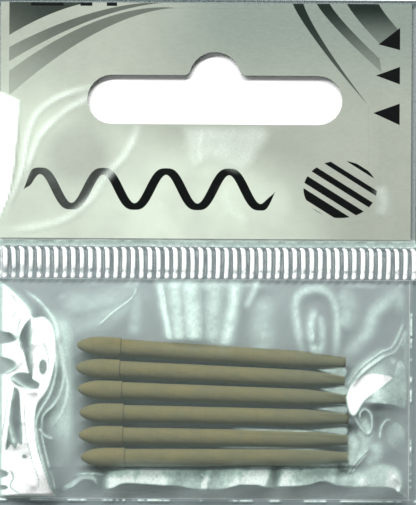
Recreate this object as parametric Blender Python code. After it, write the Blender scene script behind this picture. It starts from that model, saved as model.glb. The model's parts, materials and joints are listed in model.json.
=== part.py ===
"""Hanging pack of six felt marker nibs, lying on its back.

A clear film sleeve holds a printed header card with a hang slot. A crimped band seals it off from the
pouch below, where six turned nibs lie side by side. Metres, +Z up out of the pack's front, +Y towards
the hang slot. The origin is under the middle of the pack, on the surface that it lies on.
"""

import math

import bmesh
import bpy
from mathutils import Vector

MM = 0.001

# The pack's outline and its films
PACK_WIDTH = 53.4 * MM
PACK_LENGTH = 63.6 * MM
FILM = 0.06 * MM
CLEARANCE = 0.05 * MM
WELD_WIDTH = 0.95 * MM
WELD_THICKNESS = 0.16 * MM

# Where the header ends, the crimped band lies, and the pack folds
CRIMP_TOP_Y = 0.8 * MM
CRIMP_HEIGHT = 4.05 * MM
HEADER_BOTTOM_Y = 1.55 * MM
FOLD_AXIS_Z = 0.62 * MM  # just over the front film, so that the header clears the band as it folds over

# The header card and the bead that joins the header's two films around it
CARD_WIDTH = 51.5 * MM
CARD_BOTTOM_Y = 1.81 * MM
CARD_TOP_Y = 31.35 * MM
CARD_THICKNESS = 0.35 * MM
HEADER_BEAD_WIDTH = 0.3 * MM

# The hang slot: a slot with round ends, and a round notch above its middle
SLOT_CENTRE = Vector((1.13 * MM, 19.23 * MM))
SLOT_LENGTH = 32.0 * MM
SLOT_HEIGHT = 6.15 * MM
NOTCH_RADIUS = 3.25 * MM
NOTCH_TOP = 6.0 * MM  # above the slot's centre line
NOTCH_FILLET = 0.8 * MM
SLOT_ARC_STEPS = 12
FILLET_STEPS = 4
SLOT_CUT_DEPTH = 2.0 * MM

# The crimped band's ribs
RIB_COUNT = 50
RIB_HEIGHT = 0.44 * MM
RIB_STEPS = 6
CRIMP_WALL = 0.12 * MM

# The pouch's puffed front film
POUCH_RISE = 3.3 * MM
POUCH_EDGE_SLOPE = 5.0 * MM  # how far in from each edge the film is still rising
POUCH_COLUMNS = 40
POUCH_ROWS = 26

# One nib, a turned piece with its tip at the origin and its axis along +X
NIB_LENGTH = 33.65 * MM
HEAD_LENGTH = 5.5 * MM
HEAD_RADIUS = 1.265 * MM
NOSE_RADIUS = 0.42 * MM
NOSE_LENGTH = 0.2 * MM
OGIVE_LENGTH = 3.5 * MM
SKIRT_CHAMFER = 0.1 * MM
STEM_RADIUS = 1.075 * MM
TAIL_LENGTH = 5.6 * MM
TAIL_RADIUS = 0.64 * MM
TAIL_CHAMFER = 0.06 * MM
NIB_SIDES = 20
NIB_AXIS_Z = 1.38 * MM

# Where each nib's tip lies, in millimetres, and how far it is turned, in degrees
NIB_PLACES = (
    (-15.93, -11.54, -3.4),
    (-16.07, -14.37, -2.4),
    (-15.81, -17.06, -1.8),
    (-15.59, -20.0, -1.0),
    (-15.65, -22.83, -0.7),
    (-15.38, -25.6, 0.3),
)


def clear_scene():
    for obj in list(bpy.data.objects):
        bpy.data.objects.remove(obj, do_unlink=True)


def material(name, colour, roughness, alpha=1.0):
    made = bpy.data.materials.new(name)
    made.use_nodes = True
    shader = made.node_tree.nodes["Principled BSDF"]
    shader.inputs["Base Color"].default_value = (*colour, 1.0)
    shader.inputs["Roughness"].default_value = roughness
    shader.inputs["Metallic"].default_value = 0.0
    shader.inputs["Alpha"].default_value = alpha
    made.diffuse_color = (*colour, alpha)
    return made


def object_from(name, bm, finish, parent=None):
    """The bmesh as an object. Its mesh is in pack coordinates, and a parent's place is taken off again."""
    bmesh.ops.recalc_face_normals(bm, faces=bm.faces)
    mesh = bpy.data.meshes.new(name)
    bm.to_mesh(mesh)
    bm.free()
    mesh.materials.append(finish)
    obj = bpy.data.objects.new(name, mesh)
    bpy.context.scene.collection.objects.link(obj)
    if parent is not None:
        obj.parent = parent
        obj.location = -parent.location
    return obj


def prism(outline, low_z, high_z):
    """A plate with this outline, a list of (x, y), between two heights."""
    bm = bmesh.new()
    floor = [bm.verts.new((x, y, low_z)) for x, y in outline]
    base = bm.faces.new(floor)
    raised = bmesh.ops.extrude_face_region(bm, geom=[base])["geom"]
    corners = [item for item in raised if isinstance(item, bmesh.types.BMVert)]
    bmesh.ops.translate(bm, verts=corners, vec=(0, 0, high_z - low_z))
    return bm


def rectangle(left, right, bottom, top):
    return [(left, bottom), (right, bottom), (right, top), (left, top)]


def arc(centre, radius, start, end, steps):
    """Points on a circle from one angle to another, in degrees, both ends included."""
    angles = [math.radians(start + (end - start) * i / steps) for i in range(steps + 1)]
    return [(centre[0] + radius * math.cos(a), centre[1] + radius * math.sin(a)) for a in angles]


def hang_slot_outline():
    end_radius = SLOT_HEIGHT / 2
    reach = SLOT_LENGTH / 2 - end_radius
    x, y = SLOT_CENTRE
    notch_y = y + NOTCH_TOP - NOTCH_RADIUS
    fillet_y = y + end_radius + NOTCH_FILLET
    between = NOTCH_RADIUS + NOTCH_FILLET
    lean = math.asin((fillet_y - notch_y) / between)
    fillet_x = between * math.cos(lean)
    lean = math.degrees(lean)
    return (
        arc((x + reach, y), end_radius, -90, 90, SLOT_ARC_STEPS)
        + arc((x + fillet_x, fillet_y), NOTCH_FILLET, -90, lean - 180, FILLET_STEPS)
        + arc((x, notch_y), NOTCH_RADIUS, lean, 180 - lean, SLOT_ARC_STEPS)[1:-1]
        + arc((x - fillet_x, fillet_y), NOTCH_FILLET, -lean, -90, FILLET_STEPS)
        + arc((x - reach, y), end_radius, 90, 270, SLOT_ARC_STEPS)
    )


def cut_hang_slot(obj, cutter):
    cut = obj.modifiers.new("hang_slot", "BOOLEAN")
    cut.operation = "DIFFERENCE"
    cut.solver = "EXACT"
    cut.object = cutter


def make_header(film, weld, card, fold_axis):
    """The card between its two films, and the bead that joins the films round three of its sides."""
    half = PACK_WIDTH / 2
    top = PACK_LENGTH / 2
    card_low = FILM + CLEARANCE
    card_high = card_low + CARD_THICKNESS
    film_outline = rectangle(-half, half, HEADER_BOTTOM_Y, top)
    card_outline = rectangle(-CARD_WIDTH / 2, CARD_WIDTH / 2, CARD_BOTTOM_Y, CARD_TOP_Y)

    slot = prism(hang_slot_outline(), -SLOT_CUT_DEPTH, SLOT_CUT_DEPTH)
    cutter = object_from("hang_slot_cutter", slot, card)
    cutter.hide_render = True
    cutter.display_type = "WIRE"

    back = object_from("header_film_back", prism(film_outline, 0, FILM), film, fold_axis)
    middle = object_from("header_card", prism(card_outline, card_low, card_high), card, fold_axis)
    front_low = card_high + CLEARANCE
    front_sheet = prism(film_outline, front_low, front_low + FILM)
    front = object_from("header_film_front", front_sheet, film, fold_axis)
    for layer in (back, middle, front):
        cut_hang_slot(layer, cutter)

    inner = half - HEADER_BEAD_WIDTH
    bead_outline = [
        (-half, HEADER_BOTTOM_Y),
        (-inner, HEADER_BOTTOM_Y),
        (-inner, top - HEADER_BEAD_WIDTH),
        (inner, top - HEADER_BEAD_WIDTH),
        (inner, HEADER_BOTTOM_Y),
        (half, HEADER_BOTTOM_Y),
        (half, top),
        (-half, top),
    ]
    object_from("header_edge_weld", prism(bead_outline, card_low, card_high), weld, fold_axis)


def make_crimp_seal(weld):
    """A band across the pack, pressed into upright ribs."""
    steps = RIB_COUNT * RIB_STEPS
    middle = (RIB_HEIGHT + CRIMP_WALL) / 2
    lower, upper = [], []
    for i in range(steps + 1):
        x = PACK_WIDTH * (i / steps - 0.5)
        z = middle - RIB_HEIGHT / 2 * math.cos(2 * math.pi * i / RIB_STEPS)
        lower.append((x, z - CRIMP_WALL / 2))
        upper.append((x, z + CRIMP_WALL / 2))
    bm = bmesh.new()
    sheets = []
    for y in (CRIMP_TOP_Y - CRIMP_HEIGHT, CRIMP_TOP_Y):
        sheets.append([[bm.verts.new((x, y, z)) for x, z in side] for side in (lower, upper)])
    (front_low, front_high), (rear_low, rear_high) = sheets
    walls = (
        (front_low, rear_low),
        (rear_high, front_high),
        (front_high, front_low),
        (rear_low, rear_high),
    )
    for first, second in walls:
        for i in range(steps):
            bm.faces.new((first[i], first[i + 1], second[i + 1], second[i]))
    for i in (0, steps):
        bm.faces.new((front_low[i], rear_low[i], rear_high[i], front_high[i]))
    object_from("crimp_seal", bm, weld)


def pouch_rise(x, y, half_width, bottom, top):
    """How far the front film stands off the back film, from 0 at the pouch's edges to POUCH_RISE."""
    share = 1.0
    for distance in (half_width - abs(x), y - bottom, top - y):
        share *= math.sin(math.pi / 2 * min(distance / POUCH_EDGE_SLOPE, 1.0))
    return POUCH_RISE * share


def make_pouch(film, weld):
    """The flat back film, the puffed front film, and the welded beads on the pouch's three free edges."""
    half = PACK_WIDTH / 2
    bottom = -PACK_LENGTH / 2
    crimp_bottom = CRIMP_TOP_Y - CRIMP_HEIGHT
    film_half = half - WELD_WIDTH - 2 * CLEARANCE
    film_bottom = bottom + WELD_WIDTH + 2 * CLEARANCE
    film_top = crimp_bottom - 2 * CLEARANCE

    back_outline = rectangle(-film_half, film_half, film_bottom, film_top)
    object_from("pouch_film_back", prism(back_outline, 0, FILM), film)

    bm = bmesh.new()
    columns = [-film_half + 2 * film_half * i / POUCH_COLUMNS for i in range(POUCH_COLUMNS + 1)]
    rows = [film_bottom + (film_top - film_bottom) * j / POUCH_ROWS for j in range(POUCH_ROWS + 1)]
    edge_z = FILM + CLEARANCE
    grid = [
        [bm.verts.new((x, y, edge_z + pouch_rise(x, y, film_half, film_bottom, film_top))) for x in columns]
        for y in rows
    ]
    for j in range(POUCH_ROWS):
        for i in range(POUCH_COLUMNS):
            bm.faces.new((grid[j][i], grid[j][i + 1], grid[j + 1][i + 1], grid[j + 1][i]))
    front = object_from("pouch_film_front", bm, film)
    shell = front.modifiers.new("film_thickness", "SOLIDIFY")
    shell.thickness = FILM
    shell.offset = 1.0
    shell.use_even_offset = True
    front.data.shade_smooth()

    side_top = crimp_bottom - CLEARANCE
    side_bottom = bottom + WELD_WIDTH + CLEARANCE
    beads = {
        "left_weld": rectangle(-half, -half + WELD_WIDTH, side_bottom, side_top),
        "right_weld": rectangle(half - WELD_WIDTH, half, side_bottom, side_top),
        "bottom_weld": rectangle(-half, half, bottom, bottom + WELD_WIDTH),
    }
    for name, outline in beads.items():
        object_from(name, prism(outline, 0, WELD_THICKNESS), weld)


def nib_profile():
    """(distance from the tip, radius) down the nib: nose, ogive, skirt, collar step, stem, tapered tail."""
    nose_steps, ogive_steps = 2, 5
    points = [(0.0, 0.0)]
    for i in range(1, nose_steps + 1):
        angle = math.pi / 2 * i / nose_steps
        points.append((NOSE_LENGTH * (1 - math.cos(angle)), NOSE_RADIUS * math.sin(angle)))
    for i in range(1, ogive_steps + 1):
        share = i / ogive_steps
        radius = NOSE_RADIUS + (HEAD_RADIUS - NOSE_RADIUS) * math.sin(math.pi / 2 * share)
        points.append((NOSE_LENGTH + (OGIVE_LENGTH - NOSE_LENGTH) * share, radius))
    return points + [
        (HEAD_LENGTH - SKIRT_CHAMFER, HEAD_RADIUS),
        (HEAD_LENGTH, HEAD_RADIUS - SKIRT_CHAMFER),
        (HEAD_LENGTH, STEM_RADIUS),
        (NIB_LENGTH - TAIL_LENGTH, STEM_RADIUS),
        (NIB_LENGTH - TAIL_LENGTH / 2, STEM_RADIUS + (TAIL_RADIUS - STEM_RADIUS) * 0.6),
        (NIB_LENGTH - TAIL_CHAMFER, TAIL_RADIUS),
        (NIB_LENGTH, TAIL_RADIUS - TAIL_CHAMFER),
        (NIB_LENGTH, 0.0),
    ]


def turned(profile, sides):
    """The profile spun about the X axis."""
    bm = bmesh.new()
    points = [bm.verts.new((x, 0, r)) for x, r in profile]
    edges = [bm.edges.new(pair) for pair in zip(points, points[1:])]
    bmesh.ops.spin(
        bm,
        geom=points + edges,
        cent=(0, 0, 0),
        axis=(1, 0, 0),
        angle=2 * math.pi,
        steps=sides,
        use_merge=True,
    )
    bmesh.ops.remove_doubles(bm, verts=bm.verts, dist=0.001 * MM)
    return bm


def make_nibs(felt):
    for number, (x, y, turn) in enumerate(NIB_PLACES, start=1):
        nib = object_from(f"nib_{number}", turned(nib_profile(), NIB_SIDES), felt)
        nib.location = (x * MM, y * MM, NIB_AXIS_Z)
        nib.rotation_euler = (0, 0, math.radians(turn))
        nib.data.shade_smooth()
        nib.data.set_sharp_from_angle(angle=math.radians(30))


def main():
    clear_scene()
    film = material("clear_film", (0.62, 0.70, 0.64), 0.08, alpha=0.25)
    weld = material("welded_film", (0.72, 0.80, 0.74), 0.15, alpha=0.5)
    card = material("header_card", (0.47, 0.53, 0.44), 0.45)
    felt = material("nib_felt", (0.25, 0.245, 0.14), 0.9)

    fold_axis = bpy.data.objects.new("header_fold_axis", None)
    fold_axis.location = (0, (CRIMP_TOP_Y + HEADER_BOTTOM_Y) / 2, FOLD_AXIS_Z)
    bpy.context.scene.collection.objects.link(fold_axis)

    make_header(film, weld, card, fold_axis)
    make_crimp_seal(weld)
    make_pouch(film, weld)
    make_nibs(felt)


main()
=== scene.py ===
"""Looks for the hanging pack of felt marker nibs: creased clear films, a heat-crimped band, welded
seams, a printed pearl-silver header card and six turned felt nibs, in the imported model's frame."""

import json
import math

import bpy
import numpy as np
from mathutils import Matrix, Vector
from mathutils.geometry import delaunay_2d_cdt


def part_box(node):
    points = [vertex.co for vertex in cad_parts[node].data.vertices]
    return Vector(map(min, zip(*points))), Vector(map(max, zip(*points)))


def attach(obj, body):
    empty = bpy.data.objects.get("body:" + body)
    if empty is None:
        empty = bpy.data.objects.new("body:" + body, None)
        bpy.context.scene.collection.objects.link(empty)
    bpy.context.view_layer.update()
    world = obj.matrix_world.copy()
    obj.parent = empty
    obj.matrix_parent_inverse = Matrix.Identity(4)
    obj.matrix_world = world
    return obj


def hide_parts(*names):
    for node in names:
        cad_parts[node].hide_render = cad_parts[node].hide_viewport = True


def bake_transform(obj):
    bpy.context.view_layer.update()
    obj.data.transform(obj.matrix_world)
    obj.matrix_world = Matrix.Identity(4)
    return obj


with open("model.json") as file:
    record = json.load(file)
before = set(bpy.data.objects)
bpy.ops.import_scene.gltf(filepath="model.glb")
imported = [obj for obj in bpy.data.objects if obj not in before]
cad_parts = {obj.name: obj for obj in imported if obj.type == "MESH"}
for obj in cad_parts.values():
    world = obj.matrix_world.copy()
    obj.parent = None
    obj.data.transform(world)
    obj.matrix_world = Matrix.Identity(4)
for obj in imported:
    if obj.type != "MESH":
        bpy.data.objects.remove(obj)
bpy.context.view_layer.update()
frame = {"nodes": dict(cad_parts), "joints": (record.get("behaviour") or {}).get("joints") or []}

MM = 0.001

# --- Places and sizes, read from the frame ---
def box_mm(node):
    low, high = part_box(node)
    return low / MM, high / MM


CARD_LOW, CARD_HIGH = box_mm("header_card")
HEADER_LOW, HEADER_HIGH = box_mm("header_film_front")
CRIMP_LOW, CRIMP_HIGH = box_mm("crimp_seal")
POUCH_LOW, POUCH_HIGH = box_mm("pouch_film_front")
NIBS_TOP = box_mm("nib_1")[1].z
HALF_WIDTH = HEADER_HIGH.x
FILM_BACK_Z = 0.04
FILM_OVER_CARD = CARD_HIGH.z + 0.05  # the header's front film
RIM_Z = 0.16  # the front film where it is welded down, beyond the card
RIBS = 50
RIB_PITCH = 2 * HALF_WIDTH / RIBS

# The hang slot, as the card has it
SLOT_X, SLOT_Y = 1.13, 19.23
SLOT_LENGTH, SLOT_HEIGHT = 32, 6.15
NOTCH_RADIUS, NOTCH_TOP, NOTCH_FILLET = 3.25, 6, 0.8

# The camera looks straight down, as if at a copy stand
VIEW_HEIGHT = 63.38 * MM
VIEW_CENTRE = Vector((0.38 * MM, 0.09 * MM))
VIEW_ROLL = math.radians(0.35)
LENS_MM = 200
SENSOR_MM = 36


# --- Shader nodes, with their maths written as sums and products ---
class Value:
    """A socket in a node tree. Sums, differences and products of it are new nodes."""

    def __init__(self, nodes, socket):
        self.nodes, self.socket = nodes, socket

    def __add__(self, other):
        return self.nodes.math("ADD", self, other)

    def __sub__(self, other):
        return self.nodes.math("SUBTRACT", self, other)

    def __rsub__(self, other):
        return self.nodes.math("SUBTRACT", other, self)

    def __mul__(self, other):
        return self.nodes.math("MULTIPLY", self, other)


class Nodes:
    """A material's node tree. What goes into a node is a Value or a plain setting."""

    def __init__(self, name):
        self.material = bpy.data.materials.new(name)
        self.material.use_nodes = True
        self.tree = self.material.node_tree
        self.tree.nodes.clear()

    def add(self, kind, inputs, output=0, **settings):
        """A new node's output, with the node's inputs given by name or number."""
        node = self.tree.nodes.new(kind)
        for key, setting in settings.items():
            setattr(node, key, setting)
        for key, value in inputs.items():
            socket = node.inputs[key]
            if isinstance(value, Value):
                self.tree.links.new(value.socket, socket)
            else:
                socket.default_value = (*value, 1) if socket.type == "RGBA" else value
        return Value(self, node.outputs[output])

    def math(self, operation, *values, clamp=False):
        return self.add("ShaderNodeMath", dict(enumerate(values)), operation=operation, use_clamp=clamp)

    def larger(self, a, b):
        return self.math("MAXIMUM", a, b)

    def above(self, a, b):
        return self.math("GREATER_THAN", a, b)

    def place(self):
        """The point on the surface, in the row frame and in millimetres: the vector, x, y and z."""
        place = self.add("ShaderNodeTexCoord", {}, "Object")
        vector = self.add("ShaderNodeVectorMath", {0: place, "Scale": 1 / MM}, operation="SCALE")
        return vector, *(self.add("ShaderNodeSeparateXYZ", {0: vector}, axis) for axis in range(3))

    def noise(self, vector, scale, detail=4, roughness=0.55):
        inputs = {"Vector": vector, "Scale": scale, "Detail": detail, "Roughness": roughness}
        return self.add("ShaderNodeTexNoise", inputs, "Fac")

    def stretched(self, vector, *scales):
        return self.add("ShaderNodeVectorMath", {0: vector, 1: scales}, operation="MULTIPLY")

    def ramp(self, value, low, high, to_low=0, to_high=1):
        """Eases from to_low to to_high as value goes from low to high."""
        inputs = dict(enumerate((value, low, high, to_low, to_high)))
        return self.add("ShaderNodeMapRange", inputs, interpolation_type="SMOOTHSTEP")

    def mix(self, share, first, second):
        """A colour between first and second."""
        return self.add("ShaderNodeMix", {"Factor": share, 6: first, 7: second}, 2, data_type="RGBA")

    def bump(self, height, strength, distance):
        """A bumped normal. The distance is in millimetres."""
        inputs = {"Height": height, "Strength": strength, "Distance": distance * MM}
        return self.add("ShaderNodeBump", inputs)

    def finish(self, shader):
        output = self.tree.nodes.new("ShaderNodeOutputMaterial")
        self.tree.links.new(shader.socket, output.inputs["Surface"])
        return self.material

    def principled(self, **inputs):
        """The finished material, with one Principled shader. An underscore in a name is a space."""
        inputs = {key.replace("_", " "): value for key, value in inputs.items()}
        return self.finish(self.add("ShaderNodeBsdfPrincipled", inputs))


# --- Materials ---
def film_material(name, tint, roughness, haze_and_glare, gloss, milk_and_glare_share=0.85, glow=(0.74, 0.945, 0.865)):
    """Clear film: a tinted see-through layer under a glossy one, milky and shinier where it is creased. The
    mesh's "crease" attribute, from 0 to 1, says how much. On the front films of the pouch and the header,
    that attribute mostly holds painted glare: white that stands in for light caught by the creased film.
    Slight whitening has the colour glow, the painted glare's greenish white, and full whitening is nearly
    white."""
    n = Nodes(name)
    vector, *_ = n.place()
    ripple = n.noise(vector, 0.7, detail=2)
    scuff = n.noise(n.stretched(vector, 3, 0.6, 1), 2.2, detail=5)
    grit = n.noise(vector, 4.5, detail=3, roughness=0.7)
    normal = n.bump(ripple * 0.8 + scuff * 0.2, 0.3, 0.08)
    crease = n.add("ShaderNodeAttribute", {}, "Fac", attribute_name="crease")

    clear = n.add("ShaderNodeBsdfTransparent", {"Color": tint})
    rough = n.ramp(scuff, 0.3, 0.7, roughness * 0.85, roughness * 1.15)
    shine = n.add("ShaderNodeBsdfGlossy", {"Color": (0.9, 1, 0.965), "Roughness": rough, "Normal": normal})
    facing = n.add("ShaderNodeLayerWeight", {"Blend": 0.5, "Normal": normal}, "Facing")
    fresnel = n.math("POWER", facing, 5) * 0.8 + 0.04
    reflect = n.math("MULTIPLY", fresnel, crease * 0.35 + gloss, clamp=True)
    coated = n.add("ShaderNodeMixShader", {0: reflect, 1: clear, 2: shine})

    blown = n.ramp(crease, 0.55, 0.85)
    whitening = n.mix(blown, glow, (0.97, 0.99, 0.98))
    # A diffuse white: real whitening of creased film, and painted glare where the crease attribute holds it
    milk_and_painted_glare = n.add("ShaderNodeBsdfDiffuse", {"Color": whitening, "Normal": normal})
    speckle = n.ramp(scuff, 0.3, 0.7, 0.88, 1) * n.ramp(grit, 0.3, 0.7, 0.82, 1.08)
    share = crease * speckle * (blown * 0.14 + milk_and_glare_share) + haze_and_glare
    return n.finish(n.add("ShaderNodeMixShader", {0: n.math("MINIMUM", share, 1), 1: coated, 2: milk_and_painted_glare}))


# The print's margins, and the height where its right swooshes start, in millimetres
PRINT_LEFT, PRINT_RIGHT, PRINT_TOP = -24.7, 24.3, 31.4


def soft_below(n, value, limit, blur=0.03):
    """1 where value is under limit, with a slightly soft printed edge."""
    return n.ramp(value - limit, -blur, blur, 1, 0)


def left_swoosh(n, x, y, start, tip, width):
    """A tapering band that leaves the print's left margin at height start and curves up to the point tip."""
    along = n.math("DIVIDE", x - PRINT_LEFT, tip[0] - PRINT_LEFT, clamp=True)
    left_over = n.math("SUBTRACT", 1, along)
    height = y - (tip[1] - n.math("POWER", left_over, 1.7) * (tip[1] - start))
    return soft_below(n, 0, height) * soft_below(n, height, left_over * width)


def right_swoosh(n, x, y, start, tip, width, bluntness):
    """A band that leaves the print's top edge at x = start and curves down to the point tip. It keeps its
    width until the last part, which is shorter the more blunt it is."""
    along = n.math("DIVIDE", PRINT_TOP - y, PRINT_TOP - tip[1], clamp=True)
    across = x - (n.math("POWER", along, 1.18) * (tip[0] - start) + start)
    reach = n.math("MINIMUM", width, (1 - along) * (width * bluntness))
    return soft_below(n, 0, across) * soft_below(n, across, reach)


def swooshes(n, x, y):
    """How grey the two fans of swooshes are, from 0 to 1."""
    grey = 0
    for start, tip, width, tone in (
        (27.2, (-12.5, 31.6), 9, 0.95),
        (23.9, (-4.3, 31.4), 1.8, 0.74),
        (19.6, (-3.8, 30.7), 3.1, 0.66),
    ):
        grey = n.larger(grey, left_swoosh(n, x, y, start, tip, width) * tone)
    grey = grey * n.ramp(x + y * 1.6, 6, 30, 0.45, 1)
    for start, tip, width, bluntness, fade in (
        (10.8, (20.4, 18.6), 1.35, 1, 0.75),
        (13.8, (22, 22.8), 1.65, 5, 0.35),
        (17.6, (21.9, 26.2), 4, 3, 0.4),
    ):
        band = right_swoosh(n, x, y, start, tip, width, bluntness)
        grey = n.larger(grey, band * n.ramp(y, tip[1], 31, fade, 1))
    return grey


def margin_marks(n, x, y):
    """Three wedges in the right margin, and three bars cut by the top edge."""
    marks = 0
    for tip, low, high in (
        ((21.6, 26.3), 25.6, 28.4),
        ((21.3, 22.4), 21.3, 23.5),
        ((21, 17.7), 16.2, 18.9),
    ):
        along = n.math("DIVIDE", x - tip[0], PRINT_RIGHT - tip[0], clamp=True)
        below_top = soft_below(n, y, along * (high - tip[1]) + tip[1])
        above_bottom = soft_below(n, tip[1] - along * (tip[1] - low), y)
        marks = n.larger(marks, below_top * above_bottom * n.above(x, tip[0]))
    for bar_x, half_length in ((-19.95, 2.05), (-15.05, 0.75), (-11.85, 0.65)):
        bar = soft_below(n, n.math("ABSOLUTE", x - bar_x), half_length)
        marks = n.larger(marks, bar * n.above(y, 30.92))
    return marks


def brush_wave(n, x, y):
    """A sine wave drawn with a broad pen, which tapers at both ends."""
    pitch, height, middle = 7.9, 2.2, 8
    phase = (x + 22.7) * (2 * math.pi / pitch)
    slope = n.math("COSINE", phase) * (height * 2 * math.pi / pitch)
    steepness = slope * slope
    distance = n.math("ABSOLUTE", y - middle - n.math("SINE", phase) * height)
    taper = n.ramp(x, -22.9, -21.6) * n.ramp(x, 7.2, 8.9, 1, 0)
    width = (steepness * 0.12 + n.math("SQRT", steepness + 1) * 0.42) * taper
    return soft_below(n, distance, width, 0.05) * n.above(taper, 0.03)


def hatched_disc(n, x, y):
    dx, dy = x - 16.9, (y - 8.1) * 1.28
    across = dx * 0.62 + dy * 0.78
    hatch = n.above(n.math("SINE", across * (2 * math.pi / 1.9)), across * 0.16)
    return soft_below(n, n.math("SQRT", dx * dx + dy * dy), 4.6) * hatch


def board_and_painted_sheen(n, vector, x, y, fibre):
    """Pearl silver, dimmer towards the top, with a painted sheen over its left and its middle: glare
    reflected off the film and the board, painted as lighter board and left out in a gap between the glare's
    ridges.
    """
    cloud = n.noise(vector, 0.12, detail=3)
    pearl = n.mix(n.ramp(cloud, 0.35, 0.65), (0.312, 0.33, 0.286), (0.342, 0.36, 0.312))
    dim = n.ramp(y, 17, 30, 0, 0.95) * n.ramp(x, -10, 4, 0.05, 1)
    silver = n.mix(dim, pearl, (0.185, 0.225, 0.2))
    # Painted sheen: lighter board where glare would be reflected
    sheen = n.ramp(x, 4, 20, 1, 0) * n.ramp(y + x * 0.25, 9, 16, 1, 0)
    corner = n.ramp(x, -22, -5, 0.75, 0) * n.ramp(y, 15, 29, 1, 0)
    # A gap in the painted sheen, round a point in the lower left
    dx, dy = (x + 16) * 0.19, (y - 12.3) * 0.22
    glare_gap = n.math("SQRT", dx * dx + dy * dy)
    sheen = n.larger(sheen * n.ramp(x, -24, -6, 0.45, 1), corner) * n.ramp(glare_gap, 0.4, 1.2)
    lit = n.mix(sheen * n.ramp(cloud, 0.3, 0.7, 0.6, 0.95), silver, (0.63, 0.69, 0.59))
    return n.mix(fibre * 0.14, lit, (0.66, 0.69, 0.62))


def card_material():
    """The board, with a generic print on its front and a painted sheen on the board."""
    n = Nodes("card_print_and_painted_sheen")
    vector, x, y, z = n.place()
    fibre = n.noise(n.stretched(vector, 1, 2.5, 1), 1.6, detail=6, roughness=0.6)
    on_front = n.above(z, CARD_HIGH.z - 0.02)
    printed = on_front * (soft_below(n, PRINT_LEFT, x) * soft_below(n, x, PRINT_RIGHT))
    grey = n.math("MULTIPLY", swooshes(n, x, y), printed, clamp=True)
    drawn = n.larger(n.larger(brush_wave(n, x, y), hatched_disc(n, x, y)), margin_marks(n, x, y))
    ink = n.math("MULTIPLY", drawn, printed, clamp=True)
    colour = n.mix(grey, board_and_painted_sheen(n, vector, x, y, fibre), (0.01, 0.018, 0.014))
    return n.principled(
        Base_Color=n.mix(ink, colour, (0.0012, 0.0022, 0.0022)), Metallic=0.12, Specular_IOR_Level=0.12,
        Roughness=n.ramp(fibre, 0.3, 0.7, 0.42, 0.55), Normal=n.bump(fibre, 0.15, 0.02),
    )


def felt_material():
    """Pressed polyester fibre: matte, mottled, with fine lengthwise fibres and faint turning lines, and
    duller towards the tails."""
    n = Nodes("nib_felt")
    vector, x, _, _ = n.place()
    along = n.noise(n.stretched(vector, 0.5, 6, 6), 1.6, detail=5, roughness=0.6)
    mottle = n.noise(vector, 0.5, detail=4)
    grit = n.noise(vector, 7, detail=3, roughness=0.7)
    turning = n.noise(n.stretched(vector, 6, 0.1, 0.1), 1.2, detail=2)
    colour = n.mix(n.ramp(mottle, 0.3, 0.7), (0.158, 0.141, 0.073), (0.19, 0.156, 0.072))
    for share, tone in (
        (n.ramp(along, 0.4, 0.75) * 0.4, (0.124, 0.096, 0.04)),
        (n.ramp(turning, 0.5, 0.75) * 0.3, (0.14, 0.096, 0.036)),
        (n.ramp(x, 4, 17, 0, 0.75), (0.132, 0.128, 0.08)),
        (n.ramp(grit, 0.55, 0.78) * 0.45, (0.09, 0.075, 0.038)),
    ):
        colour = n.mix(share, colour, tone)
    height = along * 0.5 + grit * 0.4 + turning * 0.35
    return n.principled(
        Base_Color=colour, Roughness=n.ramp(grit, 0.2, 0.8, 0.78, 0.95), Specular_IOR_Level=0.2,
        Sheen_Weight=0.15, Normal=n.bump(height, 0.5, 0.06),
    )


def floor_material():
    n = Nodes("floor_white")
    vector, *_ = n.place()
    colour = n.mix(n.noise(vector, 0.02, detail=2), (0.9, 0.9, 0.9), (0.93, 0.93, 0.93))
    return n.principled(Base_Color=colour, Roughness=0.9, Specular_IOR_Level=0.1)


# --- Shapes of creased film: heights over x and y, in millimetres ---
def ease(t):
    """t cut to 0 to 1 and eased at both ends."""
    t = np.clip(t, 0, 1)
    return t * t * (3 - 2 * t)


def smooth_curve(points, steps=5):
    """A Catmull-Rom curve through the points."""
    p = np.array(points, float)
    p = np.vstack([2 * p[0] - p[1], p, 2 * p[-1] - p[-2]])
    t = np.linspace(0, 1, steps, endpoint=False)[:, None]
    spans = [
        0.5 * (2 * b + (c - a) * t + (2 * a - 5 * b + 4 * c - d) * t**2 + (3 * b - a - 3 * c + d) * t**3)
        for a, b, c, d in zip(p, p[1:], p[2:], p[3:])
    ]
    return np.vstack([*spans, p[-2:-1]])


def nearest(x, y, path):
    """Each point's distance from the path, and how far along the path, from 0 to 1, it is nearest to."""
    best = np.full(x.shape, 1e9)
    share = np.zeros(x.shape)
    lengths = np.hypot(*np.diff(path, axis=0).T)
    starts = np.concatenate([[0], np.cumsum(lengths)])
    for (ax, ay), (bx, by), length, start in zip(path, path[1:], lengths, starts):
        t = np.clip(((x - ax) * (bx - ax) + (y - ay) * (by - ay)) / max(length**2, 1e-9), 0, 1)
        d = np.hypot(x - ax - t * (bx - ax), y - ay - t * (by - ay))
        closer = d < best
        best = np.where(closer, d, best)
        share = np.where(closer, (start + t * length) / starts[-1], share)
    return best, share


def value_noise(x, y, size, seed):
    """Smooth noise from -1 to 1, with bumps about size millimetres across."""
    rng = np.random.default_rng(seed)
    cells = rng.uniform(-1, 1, (97, 97))
    u, v = x / size + 40, y / size + 40
    i, j = np.floor(u).astype(int), np.floor(v).astype(int)
    fu, fv = u - i, v - j
    fu, fv = fu**3 * (fu * (6 * fu - 15) + 10), fv**3 * (fv * (6 * fv - 15) + 10)
    i, j = i % 96, j % 96
    low = cells[i, j] * (1 - fu) + cells[i + 1, j] * fu
    high = cells[i, j + 1] * (1 - fu) + cells[i + 1, j + 1] * fu
    return low * (1 - fv) + high * fv


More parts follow.
